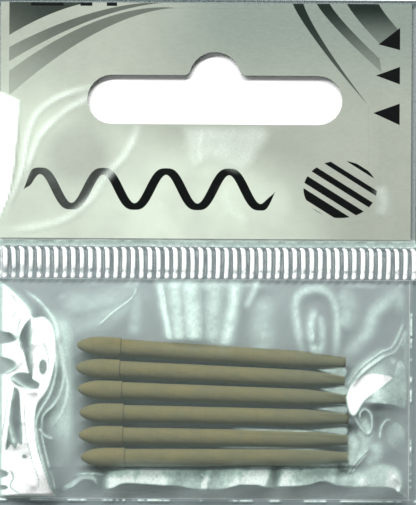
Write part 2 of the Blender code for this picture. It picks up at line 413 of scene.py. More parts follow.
def near_path(x, y, points, reach, sharpness):
    """Which points lie in the box round a curve, reach wide beyond it, their distance from the curve, and
    a share that fades towards its ends."""
    path = smooth_curve(points)
    (left, low), (right, top) = path.min(0) - reach, path.max(0) + reach
    near = (x > left) & (x < right) & (y > low) & (y < top)
    distance, share = nearest(x[near], y[near], path)
    return near, distance, np.clip(np.minimum(share, 1 - share) * sharpness, 0, 1)


def add_creases(x, y, creases):
    """(height, sharpness) of the listed creases. A crease is (height, width, points), and a sharp one has
    a negative width. Heights fade at both ends."""
    height, mark = np.zeros(x.shape), np.zeros(x.shape)
    for rise, width, points in creases:
        near, distance, fade = near_path(x, y, points, 5 * abs(width), 8)
        if width < 0:
            shape = np.exp(-distance / -width)
            mark[near] = np.maximum(mark[near], fade * np.exp(-distance / (-width * 0.45)))
        else:
            shape = np.exp(-((distance / width) ** 2))
        height[near] += rise * fade * shape
    return height, mark


def add_swells(x, y, swells):
    """Soft round bulges. A swell is (height, x, y, radius along x, radius along y)."""
    height = np.zeros(x.shape)
    for rise, cx, cy, rx, ry in swells:
        height += rise * np.exp(-(((x - cx) / rx) ** 2) - ((y - cy) / ry) ** 2)
    return height


def add_bands(x, y, bands):
    """Soft whitened bands along curves. A band is (strength, half width, points)."""
    white = np.zeros(x.shape)
    for strength, width, points in bands:
        near, distance, fade = near_path(x, y, points, 2.5 * width, 6)
        white[near] = np.maximum(white[near], strength * fade * np.exp(-((distance / width) ** 2)))
    return white


def area(x, y, outline, soft):
    """1 inside a smooth closed outline and 0 outside it, with an edge that is soft millimetres wide."""
    curve = smooth_curve([*outline, outline[0]], 4)
    inside = inside_outline(np.stack([np.ravel(x), np.ravel(y)], axis=1), curve[:-1]).reshape(np.shape(x))
    distance = nearest(x, y, curve)[0]
    return ease(0.5 + np.where(inside, distance, -distance) / soft)


def add_areas(x, y, areas):
    """The sum of soft areas. An area is (strength, softness, outline)."""
    return sum(strength * area(x, y, outline, soft) for strength, soft, outline in areas)


def blob(x, y, cx, cy, rx, ry):
    """As area, for an ellipse."""
    return ease((1.15 - np.hypot((x - cx) / rx, (y - cy) / ry)) / 0.3)


def add_folds(x, y, folds):
    """(height, whitening) of folds that lie over each other like roof tiles, the whitening being painted
    glare on the faces that rise towards the crest. A fold is (reach, slope, whiteness, points): it rises over
    its reach to a crest that runs along the points, and drops sharply."""
    height, white = np.zeros(x.shape), np.zeros(x.shape)
    for reach, slope, whiteness, points in folds:
        path = smooth_curve(points)
        above = y - np.interp(x, path[:, 0], path[:, 1])
        start, end = path[0, 0], path[-1, 0]
        fade = ease(np.minimum(x - start, end - x) / 1.3)
        ramp = np.where(above > 0, np.clip(1 - above / reach, 0, 1), np.exp(above / 0.3))
        height += fade * slope * reach * ramp
        # Painted glare over the fold's rising face, cut off just below the crest
        glow = np.clip(2.2 * (1 - above / reach), 0, 1) ** 0.6 * np.clip(above / 0.15 + 0.5, 0, 1)
        white = np.maximum(white, fade * whiteness * glow)
    return height, white


def edge_fade(x, y, box, width):
    """0 on the border of box, (left, right, bottom, top), and 1 from width inside it."""
    left, right, low, high = box
    return ease(np.minimum(np.minimum(x - left, right - x), np.minimum(y - low, high - y)) / width)


# --- Meshes ---
def new_object(name, data):
    obj = bpy.data.objects.new(name, data)
    bpy.context.scene.collection.objects.link(obj)
    return obj


def mesh_object(name, points, faces, finish, marks=None, smooth=True):
    """Points in millimetres. marks fills the crease attribute."""
    mesh = bpy.data.meshes.new(name)
    mesh.from_pydata(np.asarray(points, float) * MM, [], faces if isinstance(faces, list) else faces.tolist())
    if smooth:
        mesh.shade_smooth()
    attribute = mesh.attributes.new("crease", "FLOAT", "POINT")
    if marks is not None:
        attribute.data.foreach_set("value", np.asarray(marks, np.float32))
    mesh.materials.append(finish)
    mesh.validate()
    return new_object(name, mesh)


def grid_faces(columns, rows):
    i, j = np.meshgrid(np.arange(columns - 1), np.arange(rows - 1))
    first = (j * columns + i).ravel()
    return np.stack([first, first + 1, first + 1 + columns, first + columns], axis=1)


def grid(box, step_x, step_y):
    """x and y of a grid over box, (left, right, bottom, top)."""
    left, right, low, high = box
    columns = int(round((right - left) / step_x)) + 1
    rows = int(round((high - low) / step_y)) + 1
    return np.meshgrid(np.linspace(left, right, columns), np.linspace(low, high, rows))


def sheet_grid(name, box, spacing, height, finish):
    """A sheet over box. height(x, y) gives (z, crease marks)."""
    x, y = grid(box, *spacing)
    z, marks = height(x, y)
    points = np.stack([x.ravel(), y.ravel(), z.ravel()], axis=1)
    return mesh_object(name, points, grid_faces(*x.T.shape), finish, marks.ravel())


def arc(centre, radius, start, end, steps):
    angles = np.radians(np.linspace(start, end, steps + 1))
    return [(centre[0] + radius * math.cos(a), centre[1] + radius * math.sin(a)) for a in angles]


def slot_outline():
    """The hang slot's outline in millimetres, worked out as the card's is."""
    end_radius = SLOT_HEIGHT / 2
    reach = SLOT_LENGTH / 2 - end_radius
    x, y = SLOT_X, SLOT_Y
    notch_y = y + NOTCH_TOP - NOTCH_RADIUS
    fillet_y = y + end_radius + NOTCH_FILLET
    between = NOTCH_RADIUS + NOTCH_FILLET
    lean = math.asin((fillet_y - notch_y) / between)
    fillet_x = between * math.cos(lean)
    lean = math.degrees(lean)
    outline = (
        arc((x + reach, y), end_radius, -90, 90, 24)
        + arc((x + fillet_x, fillet_y), NOTCH_FILLET, -90, lean - 180, 6)
        + arc((x, notch_y), NOTCH_RADIUS, lean, 180 - lean, 24)[1:-1]
        + arc((x - fillet_x, fillet_y), NOTCH_FILLET, -lean, -90, 6)
        + arc((x - reach, y), end_radius, 90, 270, 24)
    )
    return np.array(outline)


def inside_outline(points, outline):
    """Which points lie inside the outline, by counting crossings."""
    x, y = points[:, 0], points[:, 1]
    inside = np.zeros(len(points), bool)
    for (ax, ay), (bx, by) in zip(outline, np.roll(outline, -1, axis=0)):
        if ay == by:
            continue
        crosses = ((ay > y) != (by > y)) & (x < (bx - ax) * (y - ay) / (by - ay) + ax)
        inside ^= crosses
    return inside


def outline_distance(x, y, outline):
    return nearest(x, y, np.vstack([outline, outline[:1]]))[0]


def sheet_with_slot(name, box, spacing, height, finish):
    """As sheet_grid, with the hang slot cut out along its true outline."""
    slot = slot_outline()
    x, y = (a.ravel() for a in grid(box, spacing, spacing))
    keep = ~inside_outline(np.stack([x, y], axis=1), slot) & (outline_distance(x, y, slot) > 0.35 * spacing)
    border = len(slot)
    flat = np.vstack([slot, np.stack([x[keep], y[keep]], axis=1)])
    edges = [(i, (i + 1) % border) for i in range(border)]
    verts, _, faces, _, _, _ = delaunay_2d_cdt([Vector(p) for p in flat], edges, [], 0, 1e-6)
    flat = np.array([tuple(v) for v in verts])
    corners = np.array([f[:3] for f in faces])
    hole = inside_outline(flat[corners].mean(axis=1), slot)
    z, marks = height(flat[:, 0], flat[:, 1])
    return mesh_object(name, np.column_stack([flat, z]), corners[~hole], finish, marks)


# --- The pieces ---
def flat_box(low, high):
    return low.x, high.x, low.y, high.y


def soft_min(*heights, sharpness=5):
    return -np.log(sum(np.exp(-sharpness * h) for h in heights)) / sharpness


def stand_in(piece, node, body):
    """The piece takes the CAD node's place on its body."""
    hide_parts(node)
    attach(piece, body)


# The front film's heights in millimetres, and how steeply it climbs from the band and the side seams
NIB_CLEARANCE, BAND_RISE, SEAM_RISE = 0.12, 0.25, 0.12
TOP_SLOPE, LEFT_SLOPE, RIGHT_SLOPE = 0.315, 0.43, 0.78


def pouch_base(x, y):
    """The front film's drape before creases: straight from the crimped band up to a level over the nibs,
    and down again to the seams. Below the nibs it drops steeply to a shelf above the bottom seam, and
    beside them it falls gently. The level is clear of the nibs, also where they slide."""
    left, right, low, high = flat_box(POUCH_LOW, POUCH_HIGH)
    level = NIBS_TOP + NIB_CLEARANCE
    from_low = y - low
    wall = from_low - 3.93 - 0.01 * x + 0.1 * value_noise(x, 0 * y, 5, 9)
    beside = ease((np.abs(x) - 17.4) / 2.4)
    shelf = 1.25 * np.clip(from_low / 1.4, 0, 1) + 6 * np.clip(wall, 0, 9)
    gentle = 1.3 * np.clip(from_low / 0.5, 0, 1) + 0.33 * np.clip(from_low - 0.5, 0, 9)
    bottom = SEAM_RISE + (1 - beside) * shelf + beside * gentle
    return soft_min(
        level + 0 * x,
        BAND_RISE + TOP_SLOPE * (high - y),
        SEAM_RISE + LEFT_SLOPE * (x - left),
        SEAM_RISE + RIGHT_SLOPE * (right - x),
        bottom,
    )


# The front film's creases, folds, swells and bands of painted glare, in the forms that the functions above
# take
FRONT_CREASES = [
    # the double fold beside the nibs' heads
    (0.42, -0.36, [(-22.8, -4.6), (-20.8, -6), (-19.2, -7.8), (-18.4, -9.4), (-18, -11.5), (-17.3, -15),
        (-17, -17), (-17.6, -19.6), (-19, -22)]),
    (0.5, -0.34, [(-19.6, -8.8), (-18.7, -10.8), (-18.4, -13), (-18.5, -15.4), (-19.2, -17.8),
        (-20.3, -19.6), (-20.9, -21.2), (-20.8, -23.2), (-20.2, -25.6), (-19.5, -28), (-18.4, -30.6)]),
    (0.4, -0.3, [(-17.9, -12.4), (-17.5, -15.6), (-18.4, -18.6), (-20, -20.4), (-20.1, -22.2)]),
    (0.25, -0.2, [(-20.6, -21.9), (-19.7, -22.9), (-18.6, -23.3)]),
    # the crumpled corner
    (0.7, -0.6, [(-26, -4), (-24, -5.2), (-22.4, -6.6), (-21.6, -8), (-21.5, -12), (-21.6, -15.6)]),
    (0.5, -0.5, [(-25.8, -9.8), (-24.2, -10), (-23.2, -11.4), (-23, -13.6), (-24.2, -14.9),
        (-25.8, -15.2)]),
    (0.5, -0.5, [(-24.4, -15.6), (-22.8, -16.6), (-21.6, -17.2), (-20.6, -17.4)]),
    (0.6, -0.6, [(-23.8, -17), (-24.4, -21), (-23.4, -24.8)]),
    (0.5, -0.5, [(-22.4, -17.8), (-22.6, -22), (-22, -26)]),
    (0.22, -0.5, [(-25.8, -26.4), (-23.6, -27.4), (-20.8, -29.6)]),
    # fine lines under the band, left of the middle
    (0.16, -0.2, [(-8.4, -3.8), (-9.1, -5.6), (-11.4, -7.4), (-13.6, -9.4)]),
    (0.14, -0.22, [(-5.5, -3.6), (-4.9, -6.5), (-4.7, -10.8)]),
    # the drop inside the arch above the tails
    (0.2, -0.22, [(13, -8.6), (13.6, -10.2), (13.4, -11.6)]),
    # the swoosh and the curls beyond the tails
    (0.45, -0.3, [(17.4, -16.9), (19.2, -14.4), (21.8, -12.3), (23.6, -11.4), (25.2, -8)]),
    (0.4, -0.3, [(17.8, -17.2), (19.6, -14.9), (22.2, -12.9), (24, -12), (25.3, -9.4)]),
    (0.35, -0.22, [(18.6, -20), (19.4, -21.4), (20.4, -22.4), (20.9, -21.6), (20.8, -20), (20, -19.3),
        (19.4, -20), (19.7, -21.2)]),
    (0.3, -0.22, [(21.9, -23.2), (22.1, -21.6), (22.8, -20.7), (23.5, -20.9)]),
    (0.3, -0.25, [(17.9, -27.6), (18.9, -25.9), (20.6, -24.2)]),
    (0.25, -0.22, [(18.4, -27.4), (19.2, -26.2), (20.4, -24.8)]),
    # short upright creases in the bottom folds
    (0.3, -0.2, [(-0.4, -27.4), (0.3, -28.4), (0.4, -29.8)]),
    (0.14, -0.16, [(-16.2, -27.8), (-14.4, -27.6), (-12.4, -27.8)]),
    (0.35, -0.25, [(23.6, -27.6), (24.6, -28.8), (24.2, -30.2)]),
    (0.35, -0.25, [(24, -29.4), (25.2, -30.2), (25.6, -31)]),
]
FRONT_FOLDS = [
    (0.9, 0.35, 0.36, [(-18.2, -30.4), (-16.3, -29.3), (-15.1, -28.4), (-13.8, -28.5), (-13.1, -29.6),
        (-12.4, -29.9)]),
    (3.3, 0.1, 0.84, [(-12.9, -30.1), (-11.3, -29.4), (-9.7, -28.8), (-5.6, -29), (-3.1, -29.1),
        (-0.9, -29.6), (0.4, -29.7)]),
    (3.3, 0.1, 0.8, [(-1.2, -29.7), (1.6, -29.7), (3.8, -29.1), (5.4, -28.7)]),
    (3.2, 0.1, 0.84, [(3.8, -28.9), (6.6, -28.9), (8, -29.2), (9.2, -29.2)]),
    (3.2, 0.1, 0.84, [(8.7, -29.1), (11.9, -29), (13.4, -28.8), (15.1, -28.4), (17.3, -29.1)]),
    (1.8, 0.22, 0.5, [(15.6, -28.9), (18.4, -29), (21, -28.9)]),
    (3, 0.16, 0.42, [(17.8, -29.2), (20.5, -29.1), (23, -29.1), (24.3, -29.6), (25.3, -30.6)]),
    (2.6, 0.22, 0.5, [(20.2, -18.7), (21.1, -18.5), (23.6, -18.8), (25.2, -19.3)]),
]
FRONT_SWELLS = [
    (0.8, -1.6, -11, 3.2, 6),
    (0.45, 6.6, -11, 1.6, 5),
    (0.5, -11, -9.5, 3.8, 4.5),
    (0.4, 13.4, -9.5, 1.2, 3.5),
    (0.6, -22.5, -8.5, 2.2, 3),
    (0.5, -23, -20, 2, 4),
]
FRONT_BANDS = [
    # columns of painted glare, and softer painted glare, under the band
    (0.52, 0.4, [(-6, -2.6), (-5.3, -6), (-4.7, -8.6), (-4, -12.4)]),
    (0.42, 0.8, [(-3.9, -2.6), (-3.5, -7.5), (-2.9, -12.4)]),
    (0.5, 1.1, [(-1.9, -2.6), (-1.6, -6.5), (-1, -12.8)]),
    (0.34, 1, [(0.9, -2.6), (1, -7), (0.7, -12.8)]),
    (0.5, 0.7, [(3.9, -2.8), (3.6, -6.4), (3, -9), (2.1, -13)]),
    (0.34, 0.45, [(6.7, -3), (6.1, -4.8), (5, -7)]),
    (0.26, 1.3, [(7.3, -5), (7.4, -9), (7, -13)]),
    (0.15, 1.4, [(-18.5, -5.6), (-15.5, -6.4), (-11.5, -5.6), (-7, -4)]),
    (0.16, 1.2, [(-16.8, -9.4), (-13, -8.2), (-9.8, -6.6), (-8.4, -4.6)]),
    (0.22, 0.8, [(-9, -4), (-8.6, -7), (-8.8, -10.6)]),
    # the arch above the tails, with its drop
    (0.38, 0.5, [(12.4, -13.2), (11.7, -9.8), (11.4, -7.2), (11.7, -5.2), (13.2, -4.4), (14.8, -4.5),
        (16, -5.5), (16.5, -7.4), (16.5, -9.8), (16.3, -13.4)]),
    (0.26, 1.2, [(16.6, -4.6), (18, -6.6), (17, -9.4)]),
    (0.46, 0.5, [(13.8, -6.6), (13.3, -8.8), (13.4, -10.8), (14, -12.8)]),
    (0.34, 0.5, [(14.2, -7.4), (14.6, -9), (14.6, -10.8), (14.2, -12.8)]),
    # the curve towards the right seam
    (0.26, 0.8, [(17.2, -13.4), (18.8, -11.4), (20.4, -9.6), (21.2, -7.4), (22.4, -6.2), (24.2, -5),
        (24.8, -7), (25.3, -8.6)]),
    (0.36, 0.7, [(17.6, -16.8), (19.2, -14.6), (21.6, -12.9), (23.4, -12.3)]),
    (0.7, 0.35, [(24.5, -11.9), (25, -10.8), (25.3, -9.4)]),
    (0.6, 0.35, [(23, -12.6), (23.5, -13.2), (24, -13.5)]),
    (0.3, 0.35, [(25.1, -9.4), (25.4, -14), (25.1, -19)]),
    (0.26, 0.8, [(-19, -30.5), (-8, -30.6), (8, -30.6), (25.4, -30.6)]),
    # beside the nibs' heads
    (0.14, 0.9, [(-18.4, -8.8), (-17.6, -9.8), (-17.6, -11.8), (-17.9, -13.6)]),
    (0.12, 1.4, [(-18.4, -22.8), (-17.8, -20.4), (-17.2, -18), (-17, -13)]),
    (0.46, 0.8, [(18, -22), (18.8, -23.4), (18.4, -25.2), (17.8, -27.2)]),
    (0.36, 0.7, [(19, -21.6), (20, -23.4), (19.6, -24.8), (18.8, -26)]),
    (0.4, 0.5, [(19.6, -20.4), (20.4, -21.6), (20.6, -22.6), (20, -23.6)]),
    (0.3, 0.8, [(20, -26.2), (21.4, -25.2), (21.2, -23.2)]),
    # the double line along the corner
    (0.5, 0.13, [(-20.9, -20.6), (-20.7, -23.2), (-20.1, -25.6), (-19.4, -28), (-18.9, -30), (-18.2, -31)]),
    (0.5, 0.12, [(-20.2, -20.6), (-20.2, -22.6), (-19.6, -25.4), (-18.9, -28), (-18.4, -30), (-17.7, -31)]),
]
# Thin painted glints between the nibs' stems, and painted glare on the film between their tails
GAP_BANDS = [
    (0.44, 0.09, [(3.4, -21.8), (8, -21.95), (14.6, -22.1)]),
    (0.2, 0.08, [(1.6, -24.15), (8, -24.2), (15.6, -24.4)]),
]
TAIL_GAPS = [
    (0.44, 0.2, [(14.3, -14.45), (16, -14.3), (17.6, -14.25), (17.6, -15.15), (16.6, -15.05),
        (15.3, -14.75)]),
    (0.44, 0.2, [(14.5, -16.85), (16.2, -16.65), (17.7, -16.55), (17.7, -17.45), (16.6, -17.35),
        (15.6, -17.15)]),
    (0.34, 0.2, [(13.8, -19.3), (16, -19.1), (17.7, -19.05), (17.7, -19.8), (16.6, -19.7), (15.4, -19.5)]),
    (0.36, 0.2, [(12.8, -22), (15.6, -21.75), (17.7, -21.65), (17.7, -22.45), (16.4, -22.35),
        (14.6, -22.15)]),
]
# Painted light on the film, as (strength, softness, outline): soft glare, and white that lifts the film where
# shadows fall on it
PAINTED_LIGHT_PLACES = [
    (0.1, 1.4, [(-6, -2.8), (-4.6, -12.6), (2.4, -13), (4.2, -8), (4.6, -2.8)]),
    (0.03, 2, [(-19, -6.4), (-17.4, -9.4), (10, -11.6), (10.4, -3.8), (-19, -3.6)]),
    (0.3, 0.4, [(19, -15.3), (20.8, -13.2), (23.3, -12.2), (25.4, -9.8), (25.4, -13.5), (23.8, -15),
        (20.8, -15)]),
    (0.12, 0.8, [(19.2, -20.4), (21, -19.6), (25, -19.9), (25.1, -23.6), (22, -24.8), (19.8, -23.4)]),
    (0.1, 1.2, [(-16, -27.3), (-12, -29), (0, -29.6), (16, -28.8), (17.6, -26.6), (0, -27)]),
    (0.25, 2.6, [(-19.4, -7.6), (-16.8, -8.6), (-15.8, -11.6), (-15.8, -20), (-16.6, -24.6), (-18.6, -26.4),
        (-19.2, -18)]),
    (0.34, 1, [(18.8, -28.8), (20.2, -27), (22.2, -26.2), (24, -26.7), (24.8, -28.2), (24.6, -29.4),
        (21, -29)]),
    (0.5, 0.5, [(22.8, -21.5), (24, -21), (25, -22), (25.3, -24.9), (24.2, -24.5), (23, -23.4)]),
]
# The film over the nibs, which stays clear but for a faint painted glare
NIB_AREA = [
    (-16.4, -11.6), (-15.2, -10.3), (-10.4, -10.3), (0, -11.1), (9.6, -12), (16, -12.9), (17.3, -13.6),
    (17.6, -19), (18, -25.4), (16.4, -26.3), (0, -26.8), (-14.8, -26.9), (-16, -26.2), (-16.5, -19),
]
# The crumpled corner, painted white as blown-out glare, the clear hollows and spots in it, and the lines on
# it
CORNER_OUTLINE = [
    (-26.9, -3), (-24.4, -4.6), (-22.4, -6.5), (-21.3, -8.1), (-20.1, -8.1), (-19.1, -9), (-18.6, -10.9),
    (-18.5, -12.8), (-19.1, -15.8), (-19.8, -17.5), (-20.8, -18.8), (-21.1, -20.6), (-21, -22.6),
    (-20.7, -24.6), (-20, -26.8), (-19.2, -29.3), (-18.6, -31.4), (-26.9, -31.6),
]
CORNER_HOLLOWS = [
    [(-21.6, -8.2), (-22.4, -9), (-23.1, -10.6), (-22.5, -12.6), (-22, -14.6), (-21.5, -16), (-21.4, -12)],
    [(-24.3, -15.7), (-23.4, -15.1), (-22, -15.1), (-21.4, -15.8), (-20.6, -16.3), (-20.7, -17),
        (-21.6, -17.1), (-22.6, -16.9), (-23.6, -16.5)],
    [(-23.8, -16.9), (-23.1, -17.3), (-22.9, -19.7), (-22.6, -22.2), (-22.7, -24), (-23.2, -23.8),
        (-23.6, -24.6), (-24.1, -24), (-24.8, -24.8), (-24.5, -22.2), (-24.2, -19.7)],
]
CORNER_SPOTS = [
    (-20.1, -14.3, 0.5, 0.95),
    (-26, -10.7, 2.6, 0.8),
    (-26, -14.2, 2.6, 1.1),
    (-25.6, -27.8, 1.1, 0.5),
    (-25.2, -29.5, 0.7, 0.3),
    (-22.4, -25.5, 0.3, 0.25),
]
CORNER_LINES = [
    (0.45, 0.1, [(-24.4, -4.8), (-23.4, -6.6), (-23.8, -7.8), (-24.4, -8.6)]),
    (0.45, 0.09, [(-21, -10), (-20, -11.4), (-19.4, -13.4), (-19.6, -15.4), (-21.2, -17.2)]),
    (0.5, 0.1, [(-22.9, -8), (-23.3, -10), (-22.7, -12.6)]),
    (0.45, 0.09, [(-24.4, -16.4), (-24.8, -20), (-25.4, -23.6)]),
    (0.45, 0.09, [(-22.4, -18), (-22.3, -22), (-21.6, -25.4), (-20.6, -28.4), (-20.8, -30)]),
    (0.4, 0.08, [(-26.4, -20), (-25.6, -20.6), (-25.9, -22.4), (-26.6, -23.2)]),
    (0.5, 0.14, [(-26.4, -24.8), (-25.9, -26), (-26.4, -27.2)]),
    (0.5, 0.14, [(-24.4, -27), (-23.8, -28.2), (-24.2, -29.4), (-22.6, -30.4)]),
]
# Beyond the tails: a facet painted white as glare, and a softer painted one
BRIGHT_FACET = [
    (17.7, -17.9), (18.1, -16.6), (19.2, -15.4), (20.9, -14.8), (23.5, -15.3), (22.6, -16.2), (21.2, -17.2),
    (19.8, -18.4), (18.8, -20), (18.1, -19.6),
]
SOFT_FACET = [
    (20, -18.4), (22, -17), (23.6, -15.3), (24.2, -13.4), (25.2, -14.2), (25.3, -19.1), (22.6, -18.8),
]

# How bright the bottom fold's painted glare is along x, as (x, share)
STRIP_TONES = [
    (-18, 1), (-13.4, 0.9), (-12.8, 0.1), (-11.2, 0.8), (-9, 1), (-4.6, 1), (-3, 0.55), (-0.2, 0.45),
    (0.2, 1), (0.5, 1), (1.1, 0.4), (3.4, 0.5), (5.2, 1), (7.6, 1.1), (8.3, 0.2), (9.3, 0.2), (10, 1),
    (12.2, 1.05), (14.4, 0.55), (17, 0.7), (19.5, 1),
]
STRIP_TOP = -26  # the fold lies below this y


def pouch_front_marks(x, y, lines, glow):
    """How white the front film is, from 0 to 1, nearly all of it painted glare: the blown-out corner, the
    facets, the folds, the bands and glints, a faint painted glare over the nibs, and painted light where
    shadows fall on the film. The sharp creases' white lines go in too.
    """
    corner = area(x, y, CORNER_OUTLINE, 0.35)
    for glare_gap in CORNER_HOLLOWS:
        corner = corner * (1 - 0.95 * area(x, y, glare_gap, 0.2))
    for spot in CORNER_SPOTS:
        corner = corner * (1 - 0.85 * blob(x, y, *spot))
    corner = corner * (1 - add_bands(x, y, CORNER_LINES))
    cloud = value_noise(x, y, 3.1, 8)
    uneven = 1 + 0.24 * value_noise(x, y, 1.7, 9) + 0.2 * value_noise(x, y, 0.45, 10)
    # Painted light: soft glare, and white that lifts the film where shadows fall on it
    painted_mist = add_areas(x, y, PAINTED_LIGHT_PLACES) * (1 + 0.9 * cloud) * (1 - 0.92 * area(x, y, NIB_AREA, 1.5))
    tones = np.interp(x - 0.35 * (y + 28), *np.transpose(STRIP_TONES))
    glow = glow * np.where(y < STRIP_TOP, tones, 1) * (1 + 0.35 * cloud)
    haze_and_glare = np.maximum(np.maximum(glow, 0.5 * area(x, y, SOFT_FACET, 0.4)), 0.75 * lines)
    # The nib area: painted glare is cleared over the nibs, but for a faint painted veil of glare
    glare_veil = area(x, y, NIB_AREA, 0.35)
    glints = np.maximum(add_bands(x, y, GAP_BANDS), add_areas(x, y, TAIL_GAPS))
    haze_and_glare = np.maximum(haze_and_glare, add_bands(x, y, FRONT_BANDS)) * (1 - 0.92 * glare_veil)
    haze_and_glare = np.maximum(haze_and_glare, glints) * uneven + painted_mist + 0.045 * glare_veil
    haze_and_glare = np.minimum(haze_and_glare, np.where(y < STRIP_TOP, 0.72, 0.65))
    # The corner and the white facet: painted blown-out glare
    bright = np.maximum(corner * (0.92 + 0.08 * uneven), area(x, y, BRIGHT_FACET, 0.4))
    return np.maximum(haze_and_glare, bright)


def pouch_front_height(x, y):
    """The drape with its creases and folds, which fade towards the seams and lie flat over the nibs."""
    inner = edge_fade(x, y, flat_box(POUCH_LOW, POUCH_HIGH), 1)
    over_nibs = edge_fade(x, y, (-19, 19, -27, -10.4), 1.3)
    creases, lines = add_creases(x, y, FRONT_CREASES)
    folds, glow = add_folds(x, y, FRONT_FOLDS)
    soft = 0.1 * value_noise(x, y, 3.4, 3) + 0.04 * value_noise(x, y, 1.6, 4)
    facets = 0.2 * (1 - 2 * np.abs(value_noise(x, y, 3.2, 5))) + 0.06 * value_noise(x, y, 1.3, 6)
    facets = area(x, y, CORNER_OUTLINE, 0.35) * facets * np.clip((y + 28.5) / 4, 0, 1)
    relief = creases + folds + add_swells(x, y, FRONT_SWELLS) + soft + facets
    z = pouch_base(x, y) + inner * (1 - over_nibs) * relief
    marks = pouch_front_marks(x, y, lines, glow)
    return z, np.clip(marks * np.clip(inner + 0.4, 0, 1), 0, 1)


def pouch_back_height(x, y):
    """Flat under the nibs, and a little puffed and rippled round them."""
    inner = edge_fade(x, y, flat_box(POUCH_LOW, POUCH_HIGH), 1.2)
    under_nibs = edge_fade(x, y, (-21.5, 24, -28.2, -9.8), 2)
    ripple = 0.5 + 0.3 * value_noise(x, y, 2.3, 11) + 0.2 * value_noise(x, y, 1, 12)
    return FILM_BACK_Z + 0.55 * inner * (1 - under_nibs) * ripple, 0 * x


# Where the header's front film stands off the card: a lifted left edge, and soft pulls round the slot
HEADER_CREASES = [
    (0.16, 1.6, [(-14.8, 20.4), (-18.5, 19.2), (-21.3, 17.2), (-22.3, 14), (-23, 9.5), (-24.8, 5.5)]),
    (0.14, 1.3, [(-15, 18.9), (-18.5, 16.8), (-21.2, 13.8), (-22.2, 10)]),
    (0.15, 1.8, [(-8.6, 15.4), (-9.8, 12.4), (-12.8, 9.2), (-15.5, 6), (-19, 4.2), (-24.5, 3.2)]),
    (0.13, 1.6, [(-1.5, 14.8), (-2.5, 11), (-4.5, 7), (-5.5, 3.4)]),
    (0.12, 1.5, [(6.4, 14.5), (5.6, 10.5), (2.6, 7.5), (1.4, 3.5)]),
    (0.14, 1.5, [(21, 9.5), (22, 6.5), (21.5, 4)]),
]
HEADER_SWELLS = [
    (0.3, -25, 12, 2.2, 6.5),
    (0.16, 1.5, 11.5, 4.5, 2.8),
    (0.1, 22, 7, 2.2, 2.4),
]
# The header film's glare: ridges round the slot, and the white lifted edge at the left
HEADER_BANDS = [
    (0.62, 0.36, [(-12.8, 20.9), (-15.2, 20.6), (-18.5, 19.4), (-21.2, 17.3), (-22.4, 14.2), (-23, 10.4),
        (-24.4, 6.6), (-25.6, 3.6)]),
    (0.62, 0.4, [(-13, 20.4), (-15.2, 19.2), (-18, 17.4), (-20.6, 14.8), (-22, 11.6), (-22.8, 8.6)]),
    (0.6, 0.48, [(-8, 18), (-8.6, 15.6), (-10, 12.4), (-12.4, 9.6), (-14.8, 6.2), (-18, 4), (-22, 3),
        (-26, 2.7)]),
    (0.05, 1.8, [(-13.5, 16.2), (-17.5, 12.6), (-20.6, 7.6)]),
    (0.12, 0.9, [(-5.4, 6.6), (-5.2, 4.4), (-5, 2.2)]),
    (0.34, 0.6, [(2.6, 8.6), (2.7, 6.6), (3.8, 4.8), (5.6, 4.2)]),
    (0.3, 0.7, [(21.8, 8.6), (22.4, 6.4), (21.9, 4.6)]),
    (0.2, 0.25, [(-0.4, 15.6), (-0.8, 13), (-0.4, 11)]),
]
HEADER_AREAS = [
    (1, 0.35, [(-26.9, 20.4), (-25.6, 20), (-23.6, 19.1), (-23.4, 18.6), (-23.5, 15.9), (-23.9, 11.6),
        (-24.3, 8.4), (-25.4, 5.2), (-26.9, 3.6)]),
    (0.4, 1.6, [(-2.6, 15.6), (7.2, 15.6), (6.4, 12.6), (5.4, 11), (3.6, 10.6), (0.6, 12), (-1.6, 11)]),
    (0.05, 2.4, [(-25, 16), (-9, 15.8), (-11.6, 10.6), (-16, 5.6), (-25, 4)]),
]


def header_front_height(x, y):
    """Over the card, down to the weld round it, with painted glare in bands and areas, and whitened where the
    film covers no card below it; below the card's lower edge that white is painted light over the edge's
    shadow.
    """
    beyond = np.maximum(np.abs(x) - CARD_HIGH.x, y - CARD_HIGH.y)
    rim = ease(1 - (beyond - 0.08) / 0.3)
    box = (CARD_LOW.x, CARD_HIGH.x, CARD_LOW.y - 3, CARD_HIGH.y)
    away = np.clip(outline_distance(x, y, slot_outline()) / 2, 0, 1) * edge_fade(x, y, box, 0.5)
    bulge = add_creases(x, y, HEADER_CREASES)[0] + add_swells(x, y, HEADER_SWELLS)
    bulge = bulge + 0.03 * value_noise(x, y, 4, 21)
    z = FILM_OVER_CARD * rim + RIM_Z * (1 - rim) + away * bulge
    uneven = 1 + 0.15 * value_noise(x, y, 2.2, 22) + 0.1 * value_noise(x, y, 0.7, 23)
    white = add_bands(x, y, HEADER_BANDS) + add_areas(x, y, HEADER_AREAS)
    # Painted light over the shadow of the card's lower edge
    white = white + 0.5 * np.clip((CARD_LOW.y + 0.05 - y) / 0.15, 0, 1)
    return z, np.clip(white * uneven + 0.1 * (1 - rim), 0, 1)


def header_back_height(x, y):
    return FILM_BACK_Z + 0 * x, 0 * x


def make_header(film, back_film, card, weld):
    box = flat_box(HEADER_LOW, HEADER_HIGH)
    front = sheet_with_slot("header_front_sheet", box, 0.3, header_front_height, film)
    back = sheet_with_slot("header_back_sheet", box, 0.9, header_back_height, back_film)
    stand_in(front, "header_film_front", "header")
    stand_in(back, "header_film_back", "header")
    for node, finish in (("header_card", card), ("header_edge_weld", weld)):
        frame["nodes"][node].data.materials.clear()
        frame["nodes"][node].data.materials.append(finish)


